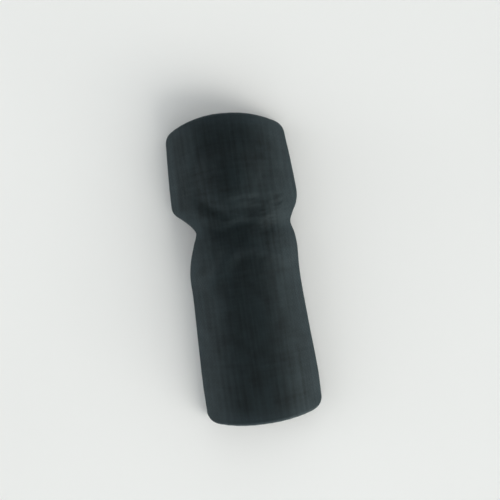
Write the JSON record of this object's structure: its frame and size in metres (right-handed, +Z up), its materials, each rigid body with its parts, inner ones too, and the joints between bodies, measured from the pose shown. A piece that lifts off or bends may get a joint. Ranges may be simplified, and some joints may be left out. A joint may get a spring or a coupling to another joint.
{
  "type": "sliding pad",
  "caption": "Curved knee-and-shin sliding pad: padded woven shell with an arched thigh edge, domed knee, side notches and long shin, held on by plain elastic back straps.",
  "frame": {"origin": "on the floor under the middle of the pad as it lies face up", "axes": "+Y along the pad towards its thigh end, +X to the right of the face as it is looked at, +Z up out of the face"},
  "size_m": [0.1127, 0.2742, 0.0341],
  "materials": {
    "woven_cover": "dark blue-black woven nylon, soft sheen",
    "elastic_webbing": "black ribbed elastic, matte"
  },
  "bodies": {
    "root": {"pad_shell": "woven_cover", "upper_strap": "elastic_webbing", "lower_strap": "elastic_webbing"}
  },
  "joints": []
}
